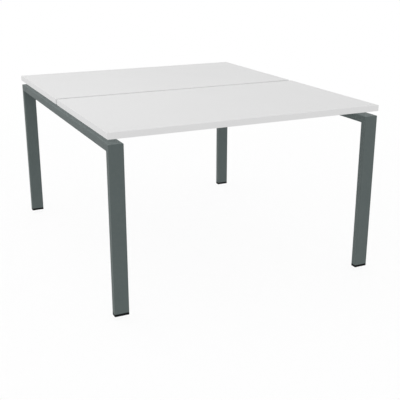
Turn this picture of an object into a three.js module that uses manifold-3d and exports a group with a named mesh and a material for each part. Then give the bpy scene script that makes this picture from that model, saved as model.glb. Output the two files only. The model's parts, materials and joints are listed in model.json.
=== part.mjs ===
// A benching desk for two: two worktops side by side on a pair of goal-post end frames.
// Millimetres, +Z up. X runs along the front edge, and Y from the front user to the rear user.
// The origin is on the floor, under the middle of the desk.
import * as THREE from 'three';
import { mergeVertices } from 'three/addons/utils/BufferGeometryUtils.js';
import Module from 'manifold-3d';

const wasm = await Module();
wasm.setup();

// The whole desk
const deskWidth = 1200;
const deskHeight = 735;

// Worktops: melamine-faced board with plastic edging, and a slot for cables between the two
const topDepth = 700;
const topThickness = 25;
const cableSlot = 20;
const edgingThickness = 2;
const edgingRadius = 1.2;
const glueLine = 0.1;

// End frames: flat rectangular tube, mitred where a leg meets the beam
const tubeWidth = 60;
const tubeDepth = 30;
const tubeWall = 2;
const tubeRadius = 3;
const frameInset = 2;
const topStandoff = 20;
const weldLine = 0.3;

// Rails: tubes under the worktops, two to each, that tie the end frames together
const railHeight = 40;
const railWidth = 30;
const railWall = 2;
const railRadius = 3;
const railSpacing = 350;

// Rail brackets: an end plate on the rail, with a tongue that hooks over the beam
const plateThickness = 4;
const tongueThickness = 4;
const tongueReach = 28;
const tongueRadius = 5;

// Bracket bolts: button heads with a hexagon socket
const boltRadius = 4;
const boltLength = 16;
const boltTipChamfer = 1;
const boltHeadRadius = 7;
const boltHeadHeight = 4.4;
const boltHeadRim = 1.2;
const boltSocketAcross = 5;
const boltSocketDepth = 2.6;
const boltClearance = 0.4;

// Worktop screws: pan heads inside the rail, driven up through it into the board
const screwsPerRail = 3;
const screwEndDistance = 130;
const screwRadius = 2;
const screwLength = 20;
const screwPoint = 4;
const screwHeadRadius = 4.5;
const screwHeadHeight = 2.6;
const screwHeadRim = 1.2;
const screwClearance = 0.4;
const screwTipRoom = 1;
const driverClearance = 1.5;

// Levelling feet: a plug in the leg's end, a threaded stem and a block of the leg's own outline
const plugHeight = 25;
const plugRim = 2.5;
const plugClearance = 0.3;
const footHeight = 7.2;
const footEdge = 0.6;
const footFloor = 2;
const footLip = 1.9;
const stemRadius = 5;
const stemThread = 30;
const stemTipChamfer = 1;
const collarAcross = 13;
const collarHeight = 4.5;
const discRadius = 7.5;
const threadClearance = 0.15;
const turningGap = 0.3;

// Fits between pieces, and how finely curves are drawn
const seatGap = 0.3;
const weldDistance = 1e-4;
const smallestRadius = 0.5;
const cornerSteps = 2;
const roundSides = 16;
const hexSides = 6;

// Levels and places worked out from the sizes above
const deskDepth = 2 * topDepth + cableSlot;
const topUnderside = deskHeight - topThickness;
const frameTop = topUnderside - topStandoff;
const rimBottom = footHeight + turningGap;
const legBottom = rimBottom + plugRim;
const frameWidth = deskWidth - 2 * frameInset;
const frameDepth = deskDepth - 2 * frameInset;
const beamX = (frameWidth - tubeWidth) / 2;
const beamInnerX = beamX - tubeWidth / 2;
const legY = (frameDepth - tubeDepth) / 2;
const topY = (topDepth + cableSlot) / 2;
const railTop = topUnderside - seatGap;
const railHalf = beamInnerX - plateThickness - 2 * seatGap;
const boltReach = tongueReach / 2;
const screwSeat = railTop - railWall - seatGap;
const pilotDepth = screwSeat + screwLength + screwTipRoom - topUnderside;
const mitreCut = weldLine / Math.SQRT2;

// Finishes
const melamine = new THREE.MeshStandardMaterial({ color: 0xe4e4e4, roughness: 0.45, metalness: 0 });
const edgingPlastic = new THREE.MeshStandardMaterial({ color: 0xe0e0e0, roughness: 0.6, metalness: 0 });
const powderCoat = new THREE.MeshStandardMaterial({ color: 0x586160, roughness: 0.6, metalness: 0 });
const zincPlate = new THREE.MeshStandardMaterial({ color: 0xb4b6b8, roughness: 0.35, metalness: 1 });
const blackPlastic = new THREE.MeshStandardMaterial({ color: 0x161718, roughness: 0.6, metalness: 0 });

// A closed geometry as a solid that can be joined and cut
function solidOf(geometry) {
  const bare = geometry.clone();
  bare.deleteAttribute('normal');
  bare.deleteAttribute('uv');
  const merged = mergeVertices(bare, weldDistance);
  const corners = merged.index.array;
  const triVerts = [];
  for (let i = 0; i < corners.length; i += 3) {
    const [a, b, c] = corners.subarray(i, i + 3);
    if (a !== b && b !== c && c !== a) triVerts.push(a, b, c);
  }
  return new wasm.Manifold(new wasm.Mesh({
    numProp: 3,
    vertProperties: merged.attributes.position.array,
    triVerts: new Uint32Array(triVerts),
  }));
}

// A solid as a geometry with flat faces
function geometryOf(solid) {
  const mesh = solid.getMesh();
  const indexed = new THREE.BufferGeometry();
  indexed.setAttribute('position', new THREE.BufferAttribute(mesh.vertProperties, mesh.numProp));
  indexed.setIndex(new THREE.BufferAttribute(mesh.triVerts, 1));
  const geometry = indexed.toNonIndexed();
  geometry.computeVertexNormals();
  return geometry;
}

function cut(geometry, cutters) {
  let solid = solidOf(geometry);
  for (const cutter of cutters) {
    solid = solid.subtract(solidOf(cutter));
  }
  return geometryOf(solid);
}

function join(geometry, others) {
  let solid = solidOf(geometry);
  for (const other of others) {
    solid = solid.add(solidOf(other));
  }
  return geometryOf(solid);
}

// A rectangle with rounded corners, centred on the origin
function roundedRectangle(outline, width, height, radius) {
  const x = width / 2 - radius;
  const y = height / 2 - radius;
  const quarter = Math.PI / 2;
  outline.absarc(x, y, radius, 0, quarter);
  outline.absarc(-x, y, radius, quarter, 2 * quarter);
  outline.absarc(-x, -y, radius, 2 * quarter, 3 * quarter);
  outline.absarc(x, -y, radius, 3 * quarter, 4 * quarter);
  return outline;
}

function extrude(outline, depth) {
  return new THREE.ExtrudeGeometry(outline, { depth, bevelEnabled: false, curveSegments: cornerSteps });
}

// The corner radius inside a tube, which its wall limits
function innerRadius(radius, wall) {
  return Math.max(radius - wall, smallestRadius);
}

// A rectangular tube along Z, from z = 0
function tube(width, height, wall, radius, length) {
  const outline = roundedRectangle(new THREE.Shape(), width, height, radius);
  const bore = roundedRectangle(
    new THREE.Path(), width - 2 * wall, height - 2 * wall, innerRadius(radius, wall));
  outline.holes.push(bore);
  return extrude(outline, length);
}

// A round bar along Z, from z = low to z = high
function bar(radius, low, high, sides = roundSides) {
  const geometry = new THREE.CylinderGeometry(radius, radius, high - low, sides);
  geometry.rotateX(Math.PI / 2);
  geometry.translate(0, 0, (low + high) / 2);
  return geometry;
}

function hexBar(acrossFlats, low, high) {
  return bar(acrossFlats / 2 / Math.cos(Math.PI / hexSides), low, high, hexSides);
}

// A turned piece about Z, from [radius, z] pairs that start and end on the axis, from the bottom up
function turned(profile) {
  const points = profile.map(([radius, z]) => new THREE.Vector2(radius, z));
  const geometry = new THREE.LatheGeometry(points, roundSides);
  geometry.rotateX(Math.PI / 2);
  return geometryOf(solidOf(geometry));
}

// Slopes the lower (-1) or upper (1) end of a frame tube to 45 degrees, with its +Y (1) or -Y (-1) side
// left at full length
function mitre(geometry, length, end, longSide) {
  const position = geometry.getAttribute('position');
  for (let i = 0; i < position.count; i += 1) {
    const z = position.getZ(i);
    const shortening = tubeDepth / 2 - longSide * position.getY(i) + mitreCut;
    if (end * (z - length / 2) > 0) position.setZ(i, z - end * shortening);
  }
  geometry.computeVertexNormals();
  return geometry;
}

function piece(name, geometry, material) {
  const mesh = new THREE.Mesh(geometry, material);
  mesh.name = name;
  return mesh;
}

function groupAt(x, y, z, turn = 0) {
  const group = new THREE.Group();
  group.position.set(x, y, z);
  group.rotation.z = turn;
  return group;
}

// The x of each screw along a rail, evenly spread between its end screws
function screwPlaces() {
  const first = screwEndDistance - railHalf;
  const step = (-2 * first) / (screwsPerRail - 1);
  return Array.from({ length: screwsPerRail }, (_, i) => first + i * step);
}

// Worktop board about the worktop's centre, with its underside at z = 0 and pilot holes for the screws
function boardGeometry() {
  const border = edgingThickness + glueLine;
  const core = new THREE.BoxGeometry(deskWidth - 2 * border, topDepth - 2 * border, topThickness);
  core.translate(0, 0, topThickness / 2);
  const pilots = [];
  for (const side of [-1, 1]) {
    for (const x of screwPlaces()) {
      const pilot = bar(screwRadius + screwClearance, -topThickness, pilotDepth);
      pilot.translate(x, (side * railSpacing) / 2, 0);
      pilots.push(pilot);
    }
  }
  return cut(core, pilots);
}

// Edging strip along Y, with its glued face at x = 0, both outer arrises rounded and z from 0 up
function edgingGeometry(length) {
  const outline = new THREE.Shape();
  const x = edgingThickness - edgingRadius;
  const y = topThickness - edgingRadius;
  outline.moveTo(0, 0);
  outline.absarc(x, edgingRadius, edgingRadius, -Math.PI / 2, 0);
  outline.absarc(x, y, edgingRadius, 0, Math.PI / 2);
  outline.lineTo(0, topThickness);
  const geometry = extrude(outline, length);
  geometry.translate(0, 0, -length / 2);
  geometry.rotateX(Math.PI / 2);
  return geometry;
}

function worktop(name, y) {
  const group = groupAt(0, y, topUnderside);
  group.add(piece(`${name}_worktop_board`, boardGeometry(), melamine));
  const shortStrip = topDepth - 2 * (edgingThickness + glueLine);
  const sides = [
    { side: 'right', turn: 0, out: deskWidth / 2, length: shortStrip },
    { side: 'rear', turn: Math.PI / 2, out: topDepth / 2, length: deskWidth },
    { side: 'left', turn: Math.PI, out: deskWidth / 2, length: shortStrip },
    { side: 'front', turn: -Math.PI / 2, out: topDepth / 2, length: deskWidth },
  ];
  for (const { side, turn, out, length } of sides) {
    const edge = groupAt(0, 0, 0, turn);
    const strip = piece(`${name}_worktop_${side}_edging`, edgingGeometry(length), edgingPlastic);
    strip.position.x = out - edgingThickness;
    edge.add(strip);
    group.add(edge);
  }
  return group;
}

function frameTube(length) {
  return tube(tubeWidth, tubeDepth, tubeWall, tubeRadius, length);
}

// Leg with its long side towards the desk's front (-1) or rear (1)
function legGeometry(outward) {
  const length = frameTop - legBottom;
  return mitre(frameTube(length), length, 1, outward);
}

// Cross beam along Y about its own middle, with a hole in its top wall for each bracket bolt
function beamGeometry(boltX) {
  const geometry = frameTube(frameDepth);
  mitre(geometry, frameDepth, -1, 1);
  mitre(geometry, frameDepth, 1, 1);
  geometry.rotateX(Math.PI / 2);
  geometry.translate(0, frameDepth / 2, 0);
  const holes = railYs().map((y) => {
    const hole = bar(boltRadius + boltClearance, 0, tubeDepth);
    hole.translate(boltX, y, 0);
    return hole;
  });
  return cut(geometry, holes);
}

function railYs() {
  const half = railSpacing / 2;
  return [-topY - half, -topY + half, topY - half, topY + half];
}

// Rail along X about its own middle, with its top at z = 0 and holes for the worktop screws
function railGeometry() {
  const geometry = tube(railWidth, railHeight, railWall, railRadius, 2 * railHalf);
  geometry.translate(0, -railHeight / 2, -railHalf);
  geometry.rotateY(Math.PI / 2);
  geometry.rotateX(Math.PI / 2);
  const middle = -railHeight / 2;
  const holes = screwPlaces().flatMap((x) => {
    const shankHole = bar(screwRadius + screwClearance, middle, railHeight);
    const driverHole = bar(screwHeadRadius + driverClearance, -2 * railHeight, middle);
    return [shankHole.translate(x, 0, 0), driverHole.translate(x, 0, 0)];
  });
  return cut(geometry, holes);
}

// Bracket at a beam's inner face (x = 0) and top (z = 0), with its rail towards +X
function bracketGeometry() {
  const top = railTop - frameTop;
  const plate = new THREE.BoxGeometry(plateThickness, railWidth, railHeight);
  plate.translate(seatGap + plateThickness / 2, 0, top - railHeight / 2);
  const half = railWidth / 2;
  const turn = half - tongueRadius;
  const end = tongueRadius - tongueReach;
  const outline = new THREE.Shape();
  outline.moveTo(seatGap + plateThickness, -half);
  outline.lineTo(seatGap + plateThickness, half);
  outline.absarc(end, turn, tongueRadius, Math.PI / 2, Math.PI);
  outline.absarc(end, -turn, tongueRadius, Math.PI, 1.5 * Math.PI);
  const tongue = extrude(outline, tongueThickness);
  tongue.translate(0, 0, seatGap);
  const hole = bar(boltRadius + boltClearance, -tongueThickness, 2 * tongueThickness);
  hole.translate(-boltReach, 0, 0);
  return cut(join(plate, [tongue]), [hole]);
}

// Bolt with its head's underside at z = 0
function boltGeometry() {
  const crown = boltHeadRadius * Math.SQRT1_2;
  const body = turned([
    [0, -boltLength],
    [boltRadius - boltTipChamfer, -boltLength],
    [boltRadius, boltTipChamfer - boltLength],
    [boltRadius, 0],
    [boltHeadRadius, 0],
    [boltHeadRadius, boltHeadRim],
    [crown, boltHeadHeight],
    [0, boltHeadHeight],
  ]);
  const socket = hexBar(boltSocketAcross, boltHeadHeight - boltSocketDepth, 2 * boltHeadHeight);
  return cut(body, [socket]);
}

// Screw with its head's bearing face at z = 0 and its point upwards
function screwGeometry() {
  const crown = screwHeadRadius * Math.SQRT1_2;
  return turned([
    [0, -screwHeadHeight],
    [crown, -screwHeadHeight],
    [screwHeadRadius, -screwHeadRim],
    [screwHeadRadius, 0],
    [screwRadius, 0],
    [screwRadius, screwLength - screwPoint],
    [0, screwLength],
  ]);
}

// A rail with its end brackets, their bolts and its screws
function railSet(name, y) {
  const group = groupAt(0, y, 0);
  const rail = piece(name, railGeometry(), powderCoat);
  rail.position.z = railTop;
  group.add(rail);
  const ends = [
    { end: 'left', x: -beamInnerX, turn: 0 },
    { end: 'right', x: beamInnerX, turn: Math.PI },
  ];
  for (const { end, x, turn } of ends) {
    const corner = groupAt(x, 0, frameTop, turn);
    corner.add(piece(`${name}_${end}_bracket`, bracketGeometry(), powderCoat));
    const bolt = piece(`${name}_${end}_bolt`, boltGeometry(), zincPlate);
    bolt.position.set(-boltReach, 0, tongueThickness + 2 * seatGap);
    corner.add(bolt);
    group.add(corner);
  }
  screwPlaces().forEach((x, i) => {
    const screw = piece(`${name}_screw_${i + 1}`, screwGeometry(), zincPlate);
    screw.position.set(x, 0, screwSeat);
    group.add(screw);
  });
  return group;
}

// Plug with its rim's underside at z = 0, and a socket that takes in the stem's collar
function plugGeometry() {
  const wide = 2 * (tubeWall + plugClearance);
  const rim = extrude(roundedRectangle(new THREE.Shape(), tubeWidth, tubeDepth, tubeRadius), plugRim);
  const inner = roundedRectangle(
    new THREE.Shape(), tubeWidth - wide, tubeDepth - wide, innerRadius(tubeRadius, tubeWall));
  const body = extrude(inner, plugRim + plugHeight);
  const collarRadius = collarAcross / 2 / Math.cos(Math.PI / hexSides);
  const socketTop = collarHeight + 2 * turningGap;
  const socket = bar(collarRadius + turningGap, -plugRim, socketTop);
  const thread = bar(stemRadius + threadClearance, -plugRim, plugRim + 2 * plugHeight);
  return cut(join(rim, [body]), [socket, thread]);
}

// Foot block on the floor, with a hollow that holds the stem's disc and lets it turn
function footGeometry() {
  const width = tubeWidth - 2 * footEdge;
  const depth = tubeDepth - 2 * footEdge;
  const outline = roundedRectangle(new THREE.Shape(), width, depth, tubeRadius - footEdge);
  const block = new THREE.ExtrudeGeometry(outline, {
    depth: footHeight - 2 * footEdge,
    bevelThickness: footEdge,
    bevelSize: footEdge,
    bevelSegments: 1,
    curveSegments: cornerSteps,
  });
  block.translate(0, 0, footEdge);
  const hollow = bar(discRadius + turningGap, footFloor, footHeight - footLip);
  const neck = bar(stemRadius + turningGap, footFloor, 2 * footHeight);
  return cut(block, [hollow, neck]);
}

// Stem above the floor: a disc in the foot, a collar for a spanner and the threaded length
function stemGeometry() {
  const discBottom = footFloor + turningGap;
  const discTop = footHeight - footLip - turningGap;
  const collarBottom = rimBottom + turningGap;
  const collarTop = collarBottom + collarHeight;
  const top = collarTop + stemThread;
  const shaft = turned([
    [0, discBottom],
    [discRadius, discBottom],
    [discRadius, discTop],
    [stemRadius, discTop],
    [stemRadius, top - stemTipChamfer],
    [stemRadius - stemTipChamfer, top],
    [0, top],
  ]);
  return join(shaft, [hexBar(collarAcross, collarBottom, collarTop)]);
}

// One leg, with the plug, stem and foot at its lower end
function legSet(name, x, outward) {
  const group = groupAt(x, outward * legY, 0);
  const leg = piece(`${name}_leg`, legGeometry(outward), powderCoat);
  leg.position.z = legBottom;
  const plug = piece(`${name}_leg_plug`, plugGeometry(), blackPlastic);
  plug.position.z = rimBottom;
  const stem = piece(`${name}_foot_stem`, stemGeometry(), zincPlate);
  const foot = piece(`${name}_foot`, footGeometry(), blackPlastic);
  group.add(leg, plug, stem, foot);
  return group;
}

function endFrame(side, sign) {
  const group = new THREE.Group();
  const boltX = beamInnerX + boltReach - beamX;
  const beam = piece(`${side}_cross_beam`, beamGeometry(sign * boltX), powderCoat);
  beam.position.set(sign * beamX, 0, frameTop - tubeDepth / 2);
  group.add(beam);
  group.add(legSet(`${side}_front`, sign * beamX, -1));
  group.add(legSet(`${side}_rear`, sign * beamX, 1));
  return group;
}

const desk = new THREE.Group();
desk.add(worktop('front', -topY), worktop('rear', topY));
desk.add(endFrame('left', -1), endFrame('right', 1));
const railNames = ['front_outer_rail', 'front_inner_rail', 'rear_inner_rail', 'rear_outer_rail'];
railYs().forEach((y, i) => desk.add(railSet(railNames[i], y)));

export default desk;
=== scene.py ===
"""Dresses a benching desk for two: worktops, goal-post end frames, rails, fastenings and levelling feet.

Metres, +Z up. X runs along the front edge, and Y from the front user to the rear user.
"""

import functools
import json
import math

import bmesh
import bpy
from bpy.props import FloatProperty, FloatVectorProperty, IntProperty, PointerProperty
from bpy.types import Operator, Panel, PropertyGroup
from mathutils import Matrix, Vector

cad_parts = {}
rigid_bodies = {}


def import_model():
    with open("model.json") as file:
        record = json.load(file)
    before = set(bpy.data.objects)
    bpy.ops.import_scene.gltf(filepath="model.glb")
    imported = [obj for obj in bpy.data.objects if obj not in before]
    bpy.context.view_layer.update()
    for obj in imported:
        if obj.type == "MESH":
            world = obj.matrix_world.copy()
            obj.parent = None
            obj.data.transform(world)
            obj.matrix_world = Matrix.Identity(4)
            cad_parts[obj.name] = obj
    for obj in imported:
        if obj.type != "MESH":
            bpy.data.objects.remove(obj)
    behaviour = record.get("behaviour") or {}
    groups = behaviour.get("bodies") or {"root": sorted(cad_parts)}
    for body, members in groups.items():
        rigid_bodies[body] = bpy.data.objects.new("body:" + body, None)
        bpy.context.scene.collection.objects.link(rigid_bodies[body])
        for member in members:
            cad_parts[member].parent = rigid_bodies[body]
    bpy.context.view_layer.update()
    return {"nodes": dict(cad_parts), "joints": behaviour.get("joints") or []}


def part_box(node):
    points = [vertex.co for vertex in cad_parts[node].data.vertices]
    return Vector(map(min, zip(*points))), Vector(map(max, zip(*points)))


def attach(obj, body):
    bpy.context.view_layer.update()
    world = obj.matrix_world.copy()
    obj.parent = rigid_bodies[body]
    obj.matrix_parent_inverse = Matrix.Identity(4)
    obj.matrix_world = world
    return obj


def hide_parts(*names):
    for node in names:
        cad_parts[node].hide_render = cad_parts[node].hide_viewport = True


bl_info = {
    "name": "Benching Desk",
    "version": (1, 0, 0),
    "blender": (4, 5, 0),
    "location": "View3D > Sidebar > Desk",
    "description": "Dresses a benching desk for two with its finishes, fastenings and levelling feet",
    "category": "Object",
}

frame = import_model()


def size_of(node):
    """The lengths of a CAD node's box."""
    low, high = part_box(node)
    return high - low


def middle_of(node):
    """The middle of a CAD node's box."""
    low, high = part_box(node)
    return (low + high) / 2


# Names that the desk's pieces are made of
USERS = ("front", "rear")
ENDS = ("left", "right")
CORNERS = tuple(f"{end}_{user}" for end in ENDS for user in USERS)
RAILS = ("front_outer_rail", "front_inner_rail", "rear_inner_rail", "rear_outer_rail")
RAIL_ENDS = tuple(f"{rail}_{end}" for rail in RAILS for end in ENDS)
SCREWS = ("screw_1", "screw_2", "screw_3")
DESK = "desk"

# How finely curves are drawn
CORNER_STEPS = 6
ARRIS_STEPS = 3
ROUND_SIDES = 48
THREAD_STEPS = 8
CREASE = math.radians(32)
ROUND_PROFILE = 0.5

# Places and sizes that the frame gives
LEG_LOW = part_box("left_front_leg")[0]
BEAM_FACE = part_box("left_cross_beam")[1].x
FRAME_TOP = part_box("left_cross_beam")[1].z
FRAME_REACH = -LEG_LOW.y
TUBE = size_of("left_front_leg")
RAIL = size_of("front_outer_rail")
BRACKET = size_of("front_outer_rail_left_bracket")
BRACKET_LOW, BRACKET_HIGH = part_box("front_outer_rail_left_bracket")
FOOT_TRAVEL = max(-joint["range_m"][0] for joint in frame["joints"] if joint["type"] == "slide")

# Turns, for pieces that are modelled once and placed several times
HALF_TURN = Matrix.Rotation(math.pi, 4, "Z")
POINT_UP = Matrix.Rotation(math.pi, 4, "X")
UPRIGHT_TO_Y = Matrix.Rotation(math.pi / 2, 4, "X")
UPRIGHT_TO_X = Matrix(((0, 0, 1, 0), (1, 0, 0, 0), (0, 1, 0, 0), (0, 0, 0, 1)))


def length_setting(label, told, default):
    """A length that a user may change."""
    return FloatProperty(name=label, description=told, default=default, min=0.0, unit="LENGTH", precision=5)


def angle_setting(label, told, degrees):
    """An angle that a user may change."""
    return FloatProperty(name=label, description=told, default=math.radians(degrees), subtype="ANGLE")


def share_setting(label, told, default):
    """A share from none to all."""
    return FloatProperty(name=label, description=told, default=default, min=0.0, max=1.0, subtype="FACTOR")


def place_setting(label, told, default):
    """A place in the scene."""
    return FloatVectorProperty(
        name=label, description=told, default=default, size=3, subtype="TRANSLATION", unit="LENGTH")


def colour_setting(label, told, default):
    """A finish's colour."""
    return FloatVectorProperty(
        name=label, description=told, default=default, size=3, min=0.0, max=1.0, subtype="COLOR")


class WorktopSettings(PropertyGroup):
    """Board facing and edging"""
    facing: colour_setting("Facing", "Colour of the white melamine facing", (0.754, 0.754, 0.754))
    edging: colour_setting("Edging", "Colour of the plastic edging", (0.782, 0.782, 0.782))
    edging_radius: length_setting("Edging radius", "Rounding of the edging's outer arrises", 0.0012)


class FrameSettings(PropertyGroup):
    """End frames, rails and brackets in coated steel"""
    coat: colour_setting("Powder coat", "Colour of the powder coat", (0.0695, 0.0930, 0.0910))
    coat_rub: colour_setting("Rubbed coat", "Colour of the coat along its arrises", (0.10, 0.12, 0.118))
    wall: length_setting("Wall", "Wall of the frame tubes and the rails", 0.002)
    corner: length_setting("Corner radius", "Outside corner radius of the tubes", 0.003)
    joint: length_setting("Joint line", "Chamfer that draws the line where two tubes meet", 0.0002)
    weld: length_setting("Corner weld", "Leg of the fillet weld inside a mitred corner", 0.003)
    weld_root: length_setting("Weld root", "How far a corner weld is sunk into the tubes", 0.00025)
    bead: length_setting("Rail bead", "Half width of the bead round a rail's end", 0.0016)
    bead_height: length_setting("Bead height", "How far that bead stands out from the rail", 0.0008)
    plate: length_setting("Plate", "Thickness of a bracket's end plate", 0.004)
    tongue: length_setting("Tongue", "Thickness of a bracket's tongue", 0.004)
    tongue_radius: length_setting("Tongue corner", "Corner radius at the tongue's end", 0.005)
    bend: length_setting("Bend", "Radius of the bend between tongue and plate", 0.002)
    bolt_hole: length_setting("Bolt hole", "Radius of the holes for the bracket bolts", 0.0044)
    shank_hole: length_setting("Shank hole", "Radius of the screw holes in a rail's top wall", 0.0024)
    driver_hole: length_setting("Driver hole", "Radius of the access holes in a rail's bottom wall", 0.006)


class FasteningSettings(PropertyGroup):
    """Bolts, screws and stems in zinc-plated steel"""
    zinc: colour_setting("Zinc plate", "Colour of the zinc plate", (0.58, 0.59, 0.60))
    bolt_length: length_setting("Bolt length", "Length of a bolt under its head", 0.016)
    bolt_radius: length_setting("Bolt radius", "Outside radius of the bolt's thread", 0.004)
    bolt_pitch: length_setting("Bolt pitch", "Pitch of the bolt's thread", 0.00125)
    bolt_socket: length_setting("Bolt socket", "Width across the flats of the bolt's socket", 0.005)
    screw_length: length_setting("Screw length", "Length of a screw under its head", 0.020)
    screw_radius: length_setting("Screw radius", "Outside radius of the screw's thread", 0.002)
    screw_pitch: length_setting("Screw pitch", "Pitch of the screw's thread", 0.0018)
    screw_point: length_setting("Screw point", "Length of the screw's tapered point", 0.004)
    washer_face: length_setting("Washer face", "Thickness of the washer face under a head", 0.0003)


class FootSettings(PropertyGroup):
    """Levelling feet: plugs and blocks in black plastic, and threaded stems"""
    plastic: colour_setting("Black plastic", "Colour of the moulded plastic", (0.0045, 0.005, 0.0056))
    scuff: colour_setting("Scuffed plastic", "Colour of scuffed arrises", (0.016, 0.016, 0.0155))
    arris: length_setting("Arris", "Rounding of the moulded arrises", 0.0006)
    floor: length_setting("Foot floor", "Thickness of a foot under its hollow", 0.002)
    lip: length_setting("Foot lip", "Thickness of a foot over its hollow", 0.0019)
    sole_border: length_setting("Sole border", "Width of the rim that stands on the floor", 0.0035)
    sole_hollow: length_setting("Sole hollow", "How far the sole is hollowed within its rim", 0.0005)
    rim: length_setting("Plug rim", "Thickness of the plug's rim under the leg", 0.0025)
    fin: length_setting("Plug fin", "How far the plug's fins stand out", 0.001)
    fin_corner: length_setting("Fin corner", "Least corner radius of the plug inside the leg", 0.0005)
    stem_radius: length_setting("Stem radius", "Outside radius of the stem's thread", 0.005)
    stem_pitch: length_setting("Stem pitch", "Pitch of the stem's thread", 0.0015)
    collar: length_setting("Collar", "Width across the flats of the stem's collar", 0.013)
    collar_height: length_setting("Collar height", "Height of the stem's collar", 0.0045)
    disc_radius: length_setting("Disc radius", "Radius of the disc that turns in the foot", 0.0075)
    play: length_setting("Turning gap", "Gap round what turns in the foot and the plug", 0.0003)


class StageSettings(PropertyGroup):
    """Camera, floor and light"""
    camera_place: place_setting("Camera", "Where the camera stands", (-1.3998, -3.2024, 1.3537))
    camera_yaw: angle_setting("Yaw", "Turn of the camera from +Y towards +X", 25.07)
    camera_pitch: angle_setting("Pitch", "Tilt of the camera below the horizon", 18.54)
    camera_lens: FloatProperty(
        name="Lens", description="Focal length on a 36 mm wide sensor", default=66.93, unit="CAMERA")
    surround: FloatProperty(
        name="Surround", description="Strength of the even white light from all sides", default=0.865)
    key_power: FloatProperty(
        name="Key light", description="Power of the soft light over the left end", default=5.6,
        subtype="POWER")
    key_place: place_setting("Key light's place", "Where the soft light hangs", (-1.25, 0.0, 2.4))
    key_width: length_setting("Key light's width", "Width of the soft light's disc", 1.6)
    gap_light: FloatProperty(
        name="Gap light", description="Strength of the light on the coated steel under the tops", default=1.3)
    gap_spread: angle_setting("Gap light's spread", "Angle over which the gap light is soft", 20)
    floor: colour_setting("Floor", "Colour of the floor as it lights the desk", (0.80, 0.80, 0.80))
    floor_side: length_setting("Floor side", "Side of the floor", 14.0)
    floor_gap: length_setting("Floor gap", "How far the floor lies under a foot screwed right out", 0.0005)
    glow: share_setting("Glow", "How much of the surround's light comes up through the floor", 0.9)
    shadow: share_setting("Shadow", "How much of the desk's shadow shows on the white floor", 0.08)
    shadow_full: length_setting("Full shadow", "How far from the middle the shadow shows in full", 1.0)
    shadow_end: length_setting("Shadow's end", "How far from the middle the shadow fades away", 4.667)


class BenchDesk(PropertyGroup):
    """All of the desk's settings"""
    worktop: PointerProperty(type=WorktopSettings)
    frames: PointerProperty(type=FrameSettings)
    fastenings: PointerProperty(type=FasteningSettings)
    feet: PointerProperty(type=FootSettings)
    stage: PointerProperty(type=StageSettings)


# Meshes

def creased(mesh):
    """The mesh with smooth faces, creased where they turn sharply."""
    mesh.shade_smooth()
    mesh.set_sharp_from_angle(angle=CREASE)
    return mesh


def mesh_from(name, bm):
    """A bmesh as a mesh with its faces pointing out."""
    bmesh.ops.recalc_face_normals(bm, faces=bm.faces[:])
    mesh = bpy.data.meshes.new(name)
    bm.to_mesh(mesh)
    bm.free()
    return creased(mesh)


def round_edges(bm, edges, radius):
    """Round some of a bmesh's edges."""
    bmesh.ops.bevel(
        bm, geom=edges, offset=radius, segments=CORNER_STEPS, profile=ROUND_PROFILE, affect="EDGES")


def loft(name, loops, wrap=False):
    """A closed mesh skinned over loops of points. Its ends are capped, or joined to each other by wrap."""
    bm = bmesh.new()
    rings = [[bm.verts.new(point) for point in loop] for loop in loops]
    if wrap:
        rings.append(rings[0])
    else:
        bm.faces.new(rings[0])
        bm.faces.new(rings[-1])
    for ring, following in zip(rings, rings[1:]):
        count = len(ring)
        for i in range(count):
            j = (i + 1) % count
            bm.faces.new((ring[i], ring[j], following[j], following[i]))
    return mesh_from(name, bm)


def rounded_loop(size, radius, inset, height, least=0.0):
    """A rounded rectangle about Z, drawn in by an inset, with a further point on each flat by its corners."""
    radius = max(radius - inset, least)
    across = size.x / 2 - inset - radius
    along = size.y / 2 - inset - radius
    corner = [Vector((radius, -radius, 0))]
    for step in range(CORNER_STEPS + 1):
        angle = step / CORNER_STEPS * math.pi / 2
        corner.append(radius * Vector((math.cos(angle), math.sin(angle), 0)))
    corner.append(Vector((-radius, radius, 0)))
    points = []
    for quarter in range(4):
        turn = Matrix.Rotation(quarter * math.pi / 2, 3, "Z")
        centre = Vector((across, along, height))
        points.extend(turn @ (centre + point) for point in corner)
        across, along = along, across
    return points


def round_loop(like, radius, height):
    """A circle about Z with its points at the same angles as another loop's."""
    return [radius * p.xy.normalized().to_3d() + Vector((0, 0, height)) for p in like]


def polar_loop(reach, height):
    """A loop about Z. Reach is its radius, or a function that gives it for an angle."""
    points = []
    for side in range(ROUND_SIDES):
        angle = side / ROUND_SIDES * math.tau
        radius = reach(angle) if callable(reach) else reach
        points.append(Vector((radius * math.cos(angle), radius * math.sin(angle), height)))
    return points


def polar_loops(*outline):
    """Loops about Z, given as pairs of a reach and a height."""
    return [polar_loop(reach, height) for reach, height in outline]


def hexagon(across):
    """The reach of a hexagon of a width across its flats."""
    def reach(angle):
        return across / 2 / math.cos(angle % (math.pi / 3) - math.pi / 6)
    return reach


def cross(arm, half_width):
    """The reach of a cross recess."""
    def reach(angle):
        off_arm = abs((angle + math.pi / 4) % (math.pi / 2) - math.pi / 4)
        flank = half_width / max(math.sin(off_arm), half_width / arm)
        return min(arm / math.cos(off_arm), flank)
    return reach


def lesser(reach, limit):
    """A reach held within a radius."""
    return lambda angle: min(reach(angle), limit)


def quarter_arc(steps=ARRIS_STEPS):
    """How far in and how far along a rounded arris of radius 1 lies, from its first face to its second."""
    for step in range(steps + 1):
        angle = step / steps * math.pi / 2
        yield 1 - math.sin(angle), 1 - math.cos(angle)


def block_sides(size, radius, low, high, arris):
    """Loops up the sides of an upright block, with its lower and upper arrises rounded."""
    lower = []
    upper = []
    for inward, along in quarter_arc():
        lower.append(rounded_loop(size, radius, arris * inward, low + arris * along))
        upper.append(rounded_loop(size, radius, arris * inward, high - arris * along))
    return lower + upper[::-1]


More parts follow.
